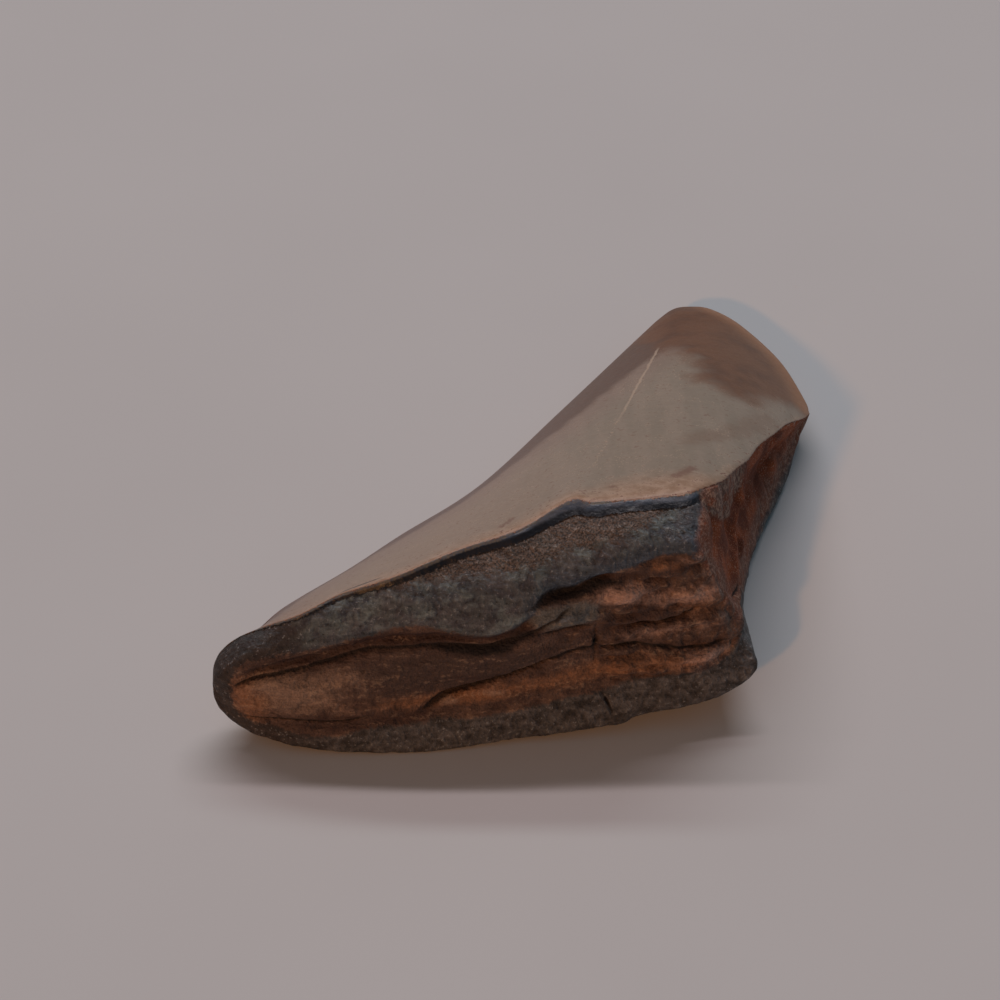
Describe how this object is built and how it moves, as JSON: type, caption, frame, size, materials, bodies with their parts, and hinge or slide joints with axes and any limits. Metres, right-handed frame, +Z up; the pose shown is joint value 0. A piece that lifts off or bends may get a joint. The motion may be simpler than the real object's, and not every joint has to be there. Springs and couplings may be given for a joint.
{
  "type": "megalodon tooth",
  "caption": "Broken fossil shark tooth lying flat: smooth grey-tan enamel crown, dark root lobe with a worn brown base, and a rough red-brown break.",
  "frame": {"origin": "middle of the flat resting patch on the underside, on the surface the tooth lies on", "axes": "+Y from the root towards the crown's worn tip, +X from the root lobe towards the broken side, +Z up"},
  "size_m": [0.0571, 0.0643, 0.0201],
  "materials": {
    "fossil_tooth": "satin enamel on the crown, dull granular root and break"
  },
  "bodies": {
    "root": {"tooth": "fossil_tooth"}
  },
  "joints": []
}
